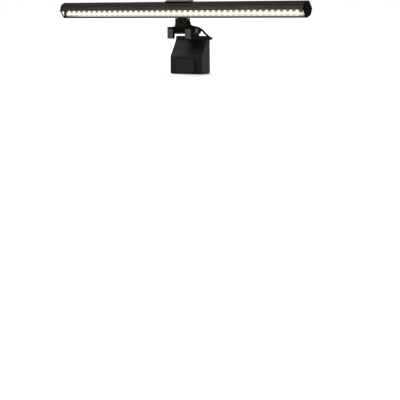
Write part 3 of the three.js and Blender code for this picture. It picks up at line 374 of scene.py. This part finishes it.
anodised, anodised_shader = surface("warm_black_anodised_painted_light", Metallic=0.15, Specular_IOR_Level=0.0)
mottled(anodised, anodised_shader, dark=(0.0125, 0.0114, 0.0086), light=(0.0175, 0.016, 0.0122),
        patch=0.004, rough=(0.46, 0.6), stretch=(0.15, 1, 1))
grained(anodised, anodised_shader, grain=0.0005, depth=0.00002, stretch=(0.05, 1, 1),
        strength=0.35)

# The even dye is scaled by two factors of painted light. One grows down the front facet, which is
# the part of the bar in front of its ridge, and stays the same elsewhere. The other grows to the
# right.
facet_top, nose, ridge_y, facet_y = 0.0445, 0.0335, -0.0065, -0.0095
least_on_facet, most_on_facet, elsewhere = -0.83, 2.67, 1.3
even_dye = anodised_shader.inputs["Base Color"].links[0].from_socket
bar_x, bar_y, bar_z = spot_on_piece(anodised)
nose_painted_light = mapped(anodised, bar_z, (facet_top, nose), (least_on_facet, most_on_facet))
in_front = mapped(anodised, bar_y, (ridge_y, facet_y))
painted_light_to_right = mapped(anodised, bar_x, (-0.2, 0.1), (0.85, 1.2))
facet_painted_light = worked_out(anodised, "MULTIPLY_ADD", nose_painted_light, in_front, elsewhere)
painted_light_scaled = node_in(anodised, "VectorMath", operation="SCALE")
anodised_link = anodised.node_tree.links.new
anodised_link(even_dye, painted_light_scaled.inputs[0])
anodised_link(worked_out(anodised, "MULTIPLY", facet_painted_light, painted_light_to_right), painted_light_scaled.inputs["Scale"])
anodised_link(painted_light_scaled.outputs["Vector"], anodised_shader.inputs["Base Color"])
eased("bar_housing", anodised, edge=0.0002)


# End caps: moulded black caps pressed into the extrusion on plugs. Each outer face has a raised rim
# round a shallow panel.
for side in ("left", "right"):
    eased("end_cap_" + side, nylon, edge=0.0002)


# Tray corners: a white reflector film is stuck inside each end cap, in the open corner in front of
# the lens. Its glow is painted light, standing in for the last LEDs' light on the cap's inner face,
# so that the strip doesn't end in a dark corner. It is die cut to three corners, given here as Y
# and Z.
film, film_shader = surface("reflector_film_painted_glow", Specular_IOR_Level=0.3,
                            Emission_Color=(1.0, 0.97, 0.88, 1), Emission_Strength=0.9)
mottled(film, film_shader, dark=(0.84, 0.82, 0.76), light=(0.9, 0.88, 0.82),
        patch=0.002, rough=(0.4, 0.5))
film_corners = ((-0.0182, 0.0320), (-0.0131, 0.0323), (-0.0131, 0.0260))
film_foot, film_top, cap_face = 0.00003, 0.00018, 0.1955
for side, face_x, inward in (("left", -cap_face, 1), ("right", cap_face, -1)):
    sheet = bmesh.new()
    back, front = [[sheet.verts.new((face_x + inward * height, y, z)) for y, z in film_corners]
                   for height in (film_foot, film_top)]
    sheet.faces.new(back)
    sheet.faces.new(front)
    for k in range(3):
        sheet.faces.new((back[k], back[(k + 1) % 3], front[(k + 1) % 3], front[k]))
    bmesh.ops.recalc_face_normals(sheet, faces=sheet.faces)
    name = "reflector_film_" + side
    corner = placed(name, meshed(sheet, name, film))
    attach(corner, "bar")


# LED board: a long white circuit board with one package every 9.1 mm. Each package is a white
# frame round a domed phosphor window that glows warm white.
led_pitch, led_count, led_row_shift = 0.0091, 42, -0.004
mask, mask_shader = surface("white_solder_mask", Specular_IOR_Level=0.5)
mottled(mask, mask_shader, dark=(0.78, 0.76, 0.68), light=(0.86, 0.84, 0.76),
        patch=0.003, rough=(0.4, 0.5))
phosphor, _ = surface("lit_phosphor", Base_Color=(0.95, 0.85, 0.45, 1), Roughness=0.4,
                      Emission_Color=(1.0, 0.955, 0.83, 1), Emission_Strength=5.0)
eased("led_board", mask, edge=0.00008)
board_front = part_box("led_board")[0].y
lens_low, lens_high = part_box("lens_strip")
led_z = (lens_low.z + lens_high.z) / 2
window_sides, window_foot, window_crown = 16, 0.00002, 0.00016
window_half_width, window_half_height = 0.00115, 0.00095
windows = bmesh.new()
for i in range(led_count):
    x = led_row_shift + (i - (led_count - 1) / 2) * led_pitch
    ring = []
    for k in range(window_sides):
        turn = 2 * math.pi * k / window_sides
        ring.append(windows.verts.new((x + window_half_width * math.cos(turn),
                                       board_front - window_foot,
                                       led_z + window_half_height * math.sin(turn))))
    crown = windows.verts.new((x, board_front - window_crown, led_z))
    windows.faces.new(reversed(ring))
    for k in range(window_sides):
        windows.faces.new((ring[k], ring[(k + 1) % window_sides], crown))
led_windows = placed("led_windows", meshed(windows, "led_windows", phosphor))
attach(led_windows, "bar")


# Lens: an extruded strip of lightly frosted acrylic, slid in between the tray's roof and lip. Each
# LED makes a bright round patch in it, and the patches run together along its middle.
frost, frost_shader = surface("frosted_acrylic", Base_Color=(0.13, 0.125, 0.11, 1),
                              Roughness=0.35, Emission_Color=(1.0, 0.97, 0.85, 1))
lens_x, _, lens_z = spot_on_piece(frost)
depth = mapped(frost, lens_z, (lens_high.z, lens_low.z))


def down_the_strip(*levels):
    """A brightness that follows the strip's height, from its top edge at 0 to its foot at 1."""
    return ramped(frost, depth, [(position, (level, level, level)) for position, level in levels])


band = down_the_strip((0.0, 0.08), (0.16, 0.1), (0.3, 0.5), (0.42, 0.9), (0.6, 0.93),
                      (0.78, 0.52), (1.0, 0.6))
plain = down_the_strip((0.0, 0.01), (0.36, 0.03), (0.43, 0.55), (0.55, 0.88), (0.66, 0.72),
                       (0.8, 0.42), (1.0, 0.36))
spot = down_the_strip((0.0, 1.0), (0.12, 0.75), (0.3, 0.4), (0.5, 0.12), (0.75, 0.14), (1.0, 0.1))

# The patches stand a little right of the LEDs and closer together, because the lens lies in front
# of the board and is seen from the right. They fade from their middles, and stop with the row.
patch_shift, patch_pitch = led_row_shift + 0.0014, 0.00906
patch_width, patch_level = 0.0021, 1.6
half_row = led_count * patch_pitch / 2
row_fades_from, row_ends = half_row - 0.0022, half_row + 0.0002
along = worked_out(frost, "SUBTRACT", lens_x, patch_shift)
from_patch_edge = worked_out(frost, "ADD", along, patch_pitch / 2)
off_centre = worked_out(frost, "PINGPONG", from_patch_edge, patch_pitch / 2)
spread = worked_out(frost, "POWER", worked_out(frost, "DIVIDE", off_centre, patch_width), 2.0)
near = worked_out(frost, "EXPONENT", worked_out(frost, "MULTIPLY", spread, -1.0))
in_row = mapped(frost, worked_out(frost, "ABSOLUTE", along), (row_fades_from, row_ends),
                (1.0, 0.0))
spots = worked_out(frost, "MULTIPLY", worked_out(frost, "MULTIPLY", near, in_row),
                   worked_out(frost, "MULTIPLY", spot, patch_level))
lit_row = worked_out(frost, "MULTIPLY", worked_out(frost, "SUBTRACT", band, plain), in_row)
shine = worked_out(frost, "ADD", worked_out(frost, "ADD", plain, lit_row), spots)

# Both tips of the strip are dark inside the end caps. Near the left end the tray's lip shades the
# strip's lower part.
tip_fades_from, tip_dark = lens_high.x - 0.0036, lens_high.x - 0.0016
shaded_from, shade_ends, most_shade = -0.186, -0.163, 0.85
at_end = mapped(frost, worked_out(frost, "ABSOLUTE", lens_x), (tip_fades_from, tip_dark),
                (1.0, 0.02), interpolation_type="SMOOTHSTEP")
first_patches = mapped(frost, lens_x, (shaded_from, shade_ends), (most_shade, 0.0))
lower_part = mapped(frost, depth, (0.62, 0.95))
lip_shade = worked_out(frost, "SUBTRACT", 1.0,
                       worked_out(frost, "MULTIPLY", first_patches, lower_part))
ends_shade = worked_out(frost, "MULTIPLY", lip_shade, at_end)
frost.node_tree.links.new(worked_out(frost, "MULTIPLY", shine, ends_shade),
                          frost_shader.inputs["Emission Strength"])
eased("lens_strip", frost, edge=0.0001)


# Driver board and inner lead: a small green board in the rear chamber dims the LEDs. Its wires come
# up through the hinge in one black sleeve.
green, green_shader = surface("green_solder_mask", Specular_IOR_Level=0.5)
mottled(green, green_shader, dark=(0.008, 0.07, 0.025), light=(0.016, 0.115, 0.04),
        patch=0.003, rough=(0.3, 0.45))
jacket, jacket_shader = surface("black_cord_jacket", Specular_IOR_Level=0.04)
mottled(jacket, jacket_shader, dark=(0.006, 0.006, 0.006), light=(0.0105, 0.0105, 0.0105),
        patch=0.003, rough=(0.5, 0.66))
grained(jacket, jacket_shader, grain=0.0008, depth=0.00004)
eased("driver_board", green, edge=0.00008)
eased("inner_lead", jacket, edge=0)


# Holder: a die-cast saddle that grips the bar from behind and carries a raised pod on top and the
# hinge's tongue below. Two screws hold it to the bar's back.
eased("bar_holder", casting, edge=0.0003)
for side in ("left", "right"):
    eased("holder_screw_" + side, blackened, edge=0.0001)


# Touch panel: a semi-gloss black strip let into the pod's top, with three shallow dimples that a
# fingertip finds: on and off, brightness, and colour.
gloss, gloss_shader = surface("polished_black_panel", Specular_IOR_Level=0.35, Coat_Weight=0.15,
                              Coat_Roughness=0.2)
mottled(gloss, gloss_shader, dark=(0.004, 0.004, 0.004), light=(0.007, 0.007, 0.007),
        patch=0.01, rough=(0.24, 0.34))
eased("touch_panel", gloss, edge=0.0001)


# Cord: a round black USB lead, 3 mm thick and 1.5 m long. It leaves the hollow shaft through a
# moulded relief, bends down past the leg's side and lies wound in a coil behind the leg. Its route
# is the solids' own, in millimetres.
cord_half, cord_gap, piece_gap, plug_half_thick, plug_half_length = 1.5, 0.35, 0.3, 3.8, 9
coil_x, coil_z, coil_first_y, layer_pitch = -14.0, -32.0, 37.8, 3.5
coil_inner, turns_a_layer, layers, turn_pitch = 11.3, 3.25, 4, 3.5
coil_outer = coil_inner + turns_a_layer * turn_pitch
coil_top, coil_last_y = coil_z + coil_outer, coil_first_y + (layers - 1) * layer_pitch
coil_way_in = coil_x + 2 * cord_half + cord_gap
coil_way_out = coil_x - 2 * cord_half - cord_gap
plug_x, plug_y, plug_z = (coil_x - plug_half_length,
                          coil_last_y + cord_half + piece_gap + plug_half_thick,
                          coil_z - coil_outer / 2)
relief_route = [(9.5, 1.7, 17), (10.1, 1.7, 16.9), (11, 1.7, 15.9), (11.4, 1.65, 14.3),
                (11.8, 1.5, 12.8), (12.9, 1.35, 11.5), (14.5, 1.3, 11.1)]
lead_route = [(14.8, 1.3, 11.02), (16.4, 1.4, 10.6), (18, 1.6, 10.15), (19.7, 1.95, 9.75),
              (21.3, 2.4, 9.4), (22.8, 2.95, 9)]
tail_route = [(23.08, 3.06, 8.92), (24.2, 3.6, 8.5), (25.6, 4.8, 7.8), (26.9, 6.8, 6.4),
              (27.9, 9, 4.8), (28.9, 12.5, 2.1), (29.6, 16.6, -0.7), (30, 21.5, -3.4),
              (30, 27, -5.4), (29.9, 31.5, -6.5), (28.2, 35.3, -7.2), (24, 37.6, -7.8),
              (18, coil_first_y, -8.4), (11, coil_first_y, -8.9), (2, coil_first_y, coil_top),
              (-5, coil_first_y, coil_top), (coil_way_in, coil_first_y, coil_top)]
end_route = [(coil_way_out, coil_last_y, coil_top),
             (coil_x - 9.5, coil_last_y + 0.8, coil_top - 1.6),
             (coil_x - 16.9, coil_last_y + 2.8, coil_z + 15.9),
             (coil_x - 21.8, coil_last_y + 4.7, coil_z + 7.7),
             (coil_x - 22.6, plug_y, coil_z - 1), (coil_x - 20.2, plug_y, coil_z - 7.6),
             (coil_x - 14.9, plug_y, plug_z - 0.1), (plug_x - cord_gap, plug_y, plug_z)]


def between(a, b, start, end, t):
    """The point at t on the straight way from a, at the start, to b, at the end."""
    return a * ((end - t) / (end - start)) + b * ((t - start) / (end - start))


def smooth_through(points, step):
    """Points at even steps on a centripetal spline through the given points."""
    fine_steps, least_span, least_rest = 40, 1e-4, 0.3
    knots = [Vector(p) for p in points]
    knots = [2 * knots[0] - knots[1]] + knots + [2 * knots[-1] - knots[-2]]
    fine = []
    for p0, p1, p2, p3 in zip(knots, knots[1:], knots[2:], knots[3:]):
        t0 = 0.0
        t1 = t0 + max((p1 - p0).length ** 0.5, least_span)
        t2 = t1 + max((p2 - p1).length ** 0.5, least_span)
        t3 = t2 + max((p3 - p2).length ** 0.5, least_span)
        for k in range(fine_steps):
            t = t1 + (t2 - t1) * k / fine_steps
            a1 = between(p0, p1, t0, t1, t)
            a2 = between(p1, p2, t1, t2, t)
            a3 = between(p2, p3, t2, t3, t)
            b1 = between(a1, a2, t0, t2, t)
            b2 = between(a2, a3, t1, t3, t)
            fine.append(between(b1, b2, t1, t2, t))
    fine.append(knots[-2])
    even, travelled, due = [fine[0]], 0.0, step
    for a, b in zip(fine, fine[1:]):
        span = (b - a).length
        while span > 0 and travelled + span >= due:
            even.append(a.lerp(b, (due - travelled) / span))
            due += step
        travelled += span
    if (even[-1] - fine[-1]).length > least_rest * step:
        even.append(fine[-1])
    return even


# The coil is wound inwards on one layer and outwards on the next, and climbs between two layers
# within half a turn.
coil_steps, half_climb = 48, 0.25
coil_line = []
for i in range(1, round(layers * turns_a_layer * coil_steps)):
    turns = i / coil_steps
    layer = min(layers - 1, math.floor(turns / turns_a_layer))
    within = (turns - layer * turns_a_layer) * turn_pitch
    radius = coil_outer - within if layer % 2 == 0 else coil_inner + within
    nearest_change = round(turns / turns_a_layer)
    past = turns - nearest_change * turns_a_layer
    climbing = 0 < nearest_change < layers and abs(past) < half_climb
    height = nearest_change - 0.5 + past / (2 * half_climb) if climbing else layer
    turn = math.pi / 2 + 2 * math.pi * turns
    coil_line.append((coil_x + radius * math.cos(turn), coil_first_y + height * layer_pitch,
                      coil_z + radius * math.sin(turn)))
whole_route = relief_route[-2:] + lead_route + tail_route + coil_line + end_route
cord_line = [p / 1000 for p in smooth_through(whole_route, step=1.2)]
cord = drawn_tube("usb_cord", cord_line, lambda t: cord_half / 1000, sides=12, finish=jacket)
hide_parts("usb_cord_lead", "usb_cord_tail", "cord_coil", "usb_cord_end")
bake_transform(cord)


# Strain relief: a soft ribbed sleeve moulded on to the cord where it leaves the shaft. It tapers,
# and its ribs let it bend without kinking.
def ribbed(t):
    """The sleeve's radius along its length: it tapers, with grooves between its ribs."""
    ribs, first_rib, last_rib, groove_share = 9, 0.12, 0.92, 0.4
    foot_radius, taper, groove_depth = 0.0022, 0.0004, 0.0003
    in_groove = first_rib < t < last_rib and t * ribs % 1 < groove_share
    return foot_radius - taper * t - (groove_depth if in_groove else 0)


relief_line = [p / 1000 for p in smooth_through(relief_route, step=0.16)]
relief = drawn_tube("ribbed_relief", relief_line, ribbed, sides=20, finish=jacket)
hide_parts("strain_relief")
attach(relief, "clamp")


# Tie: a hook-and-loop strap round the turns, woven nylon with a fuzzy loop side. It keeps the spare
# cord in one flat ring.
weave, weave_shader = surface("black_loop_fabric", Specular_IOR_Level=0.15, Sheen_Weight=0.5,
                              Sheen_Roughness=0.5)
mottled(weave, weave_shader, dark=(0.008, 0.008, 0.009), light=(0.02, 0.02, 0.022),
        patch=0.0008, rough=(0.85, 1.0))
grained(weave, weave_shader, grain=0.0005, depth=0.00012, strength=0.8)
tie = eased("cord_tie", weave, edge=0.00035, segments=3)


# Plug: a USB-A plug with a moulded black grip and a folded, nickel-plated shell. The shell is open
# at its front, round the tongue that carries the contacts.
plug_grip = eased("usb_plug_body", jacket, edge=0.0005, segments=3)
nickel, nickel_shader = surface("nickel_plate", Metallic=1.0)
mottled(nickel, nickel_shader, dark=(0.45, 0.44, 0.42), light=(0.56, 0.55, 0.53),
        patch=0.003, rough=(0.18, 0.3))
plug_shell = eased("usb_plug_shell", nickel, edge=0.0001)


# Studio: a pale paper floor just under the leg, lifted to white away from the part. The backdrop
# is white to the camera and in polished faces, and a dim grey for the light that it gives. Four
# soft round lamps stand about the bar.
floor_z, floor_half = -0.0575, 20
floor_corners = [(x * floor_half, y * floor_half, floor_z)
                 for x, y in ((-1, -1), (1, -1), (1, 1), (-1, 1))]
floor_mesh = bpy.data.meshes.new("floor")
floor_mesh.from_pydata(floor_corners, [], [(0, 1, 2, 3)])
floor = placed("floor", floor_mesh)


def seen_directly(material):
    """1 for the camera's own rays and for those that metal and glass send on, 0 for the rest."""
    rays = node_in(material, "LightPath").outputs
    mirrored = worked_out(material, "MAXIMUM", rays["Is Glossy Ray"], rays["Is Transmission Ray"])
    return worked_out(material, "MAXIMUM", rays["Is Camera Ray"], mirrored)


paper, paper_shader = surface("pale_paper", Base_Color=(0.8, 0.8, 0.8, 1), Roughness=0.9,
                              Specular_IOR_Level=0.1)
floor_mesh.materials.append(paper)
paper_link = paper.node_tree.links.new
middle = node_in(paper, "TexCoord")
away = node_in(paper, "VectorMath", operation="LENGTH")
paper_link(middle.outputs["Object"], away.inputs[0])
near_part, far_off, near_lift, far_lift = 0.25, 1.6, 0.45, 1.0
paler = mapped(paper, away.outputs["Value"], (near_part, far_off), (near_lift, far_lift))
lift = node_in(paper, "Emission", Color=(1, 1, 1, 1))
together = node_in(paper, "AddShader")
paper_link(worked_out(paper, "MULTIPLY", seen_directly(paper), paler), lift.inputs["Strength"])
paper_link(paper_shader.outputs[0], together.inputs[0])
paper_link(lift.outputs[0], together.inputs[1])
paper_link(together.outputs[0], paper.node_tree.nodes["Material Output"].inputs["Surface"])

world = bpy.data.worlds.new("studio")
bpy.context.scene.world = world
world.use_nodes = True
dim_grey = world.node_tree.nodes["Background"]
dim_grey.inputs["Color"].default_value = (0.9, 0.9, 0.9, 1)
dim_grey.inputs["Strength"].default_value = 0.3
white = node_in(world, "Background", Color=(1, 1, 1, 1), Strength=1.0)
chosen = node_in(world, "MixShader")
world_link = world.node_tree.links.new
world_link(seen_directly(world), chosen.inputs["Fac"])
world_link(dim_grey.outputs[0], chosen.inputs[1])
world_link(white.outputs[0], chosen.inputs[2])
world_link(chosen.outputs[0], world.node_tree.nodes["World Output"].inputs["Surface"])

for name, position, size, power in (("lamp_left", (-0.9, -1.0, 1.2), 0.9, 10),
                                    ("lamp_right", (0.6, -1.4, 0.8), 0.8, 3),
                                    ("lamp_top", (-0.74, 0.3, 1.2), 0.6, 12),
                                    ("lamp_back", (-0.15, 1.45, 0.4), 0.9, 10)):
    lamp_data = bpy.data.lights.new(name, "AREA")
    lamp_data.shape = "DISK"
    lamp_data.size = size
    lamp_data.energy = power
    lamp = placed(name, lamp_data)
    lamp.location = position
    lamp.rotation_euler = (-Vector(position)).to_track_quat("-Z", "Y").to_euler()

bpy.context.scene.view_settings.view_transform = "Standard"
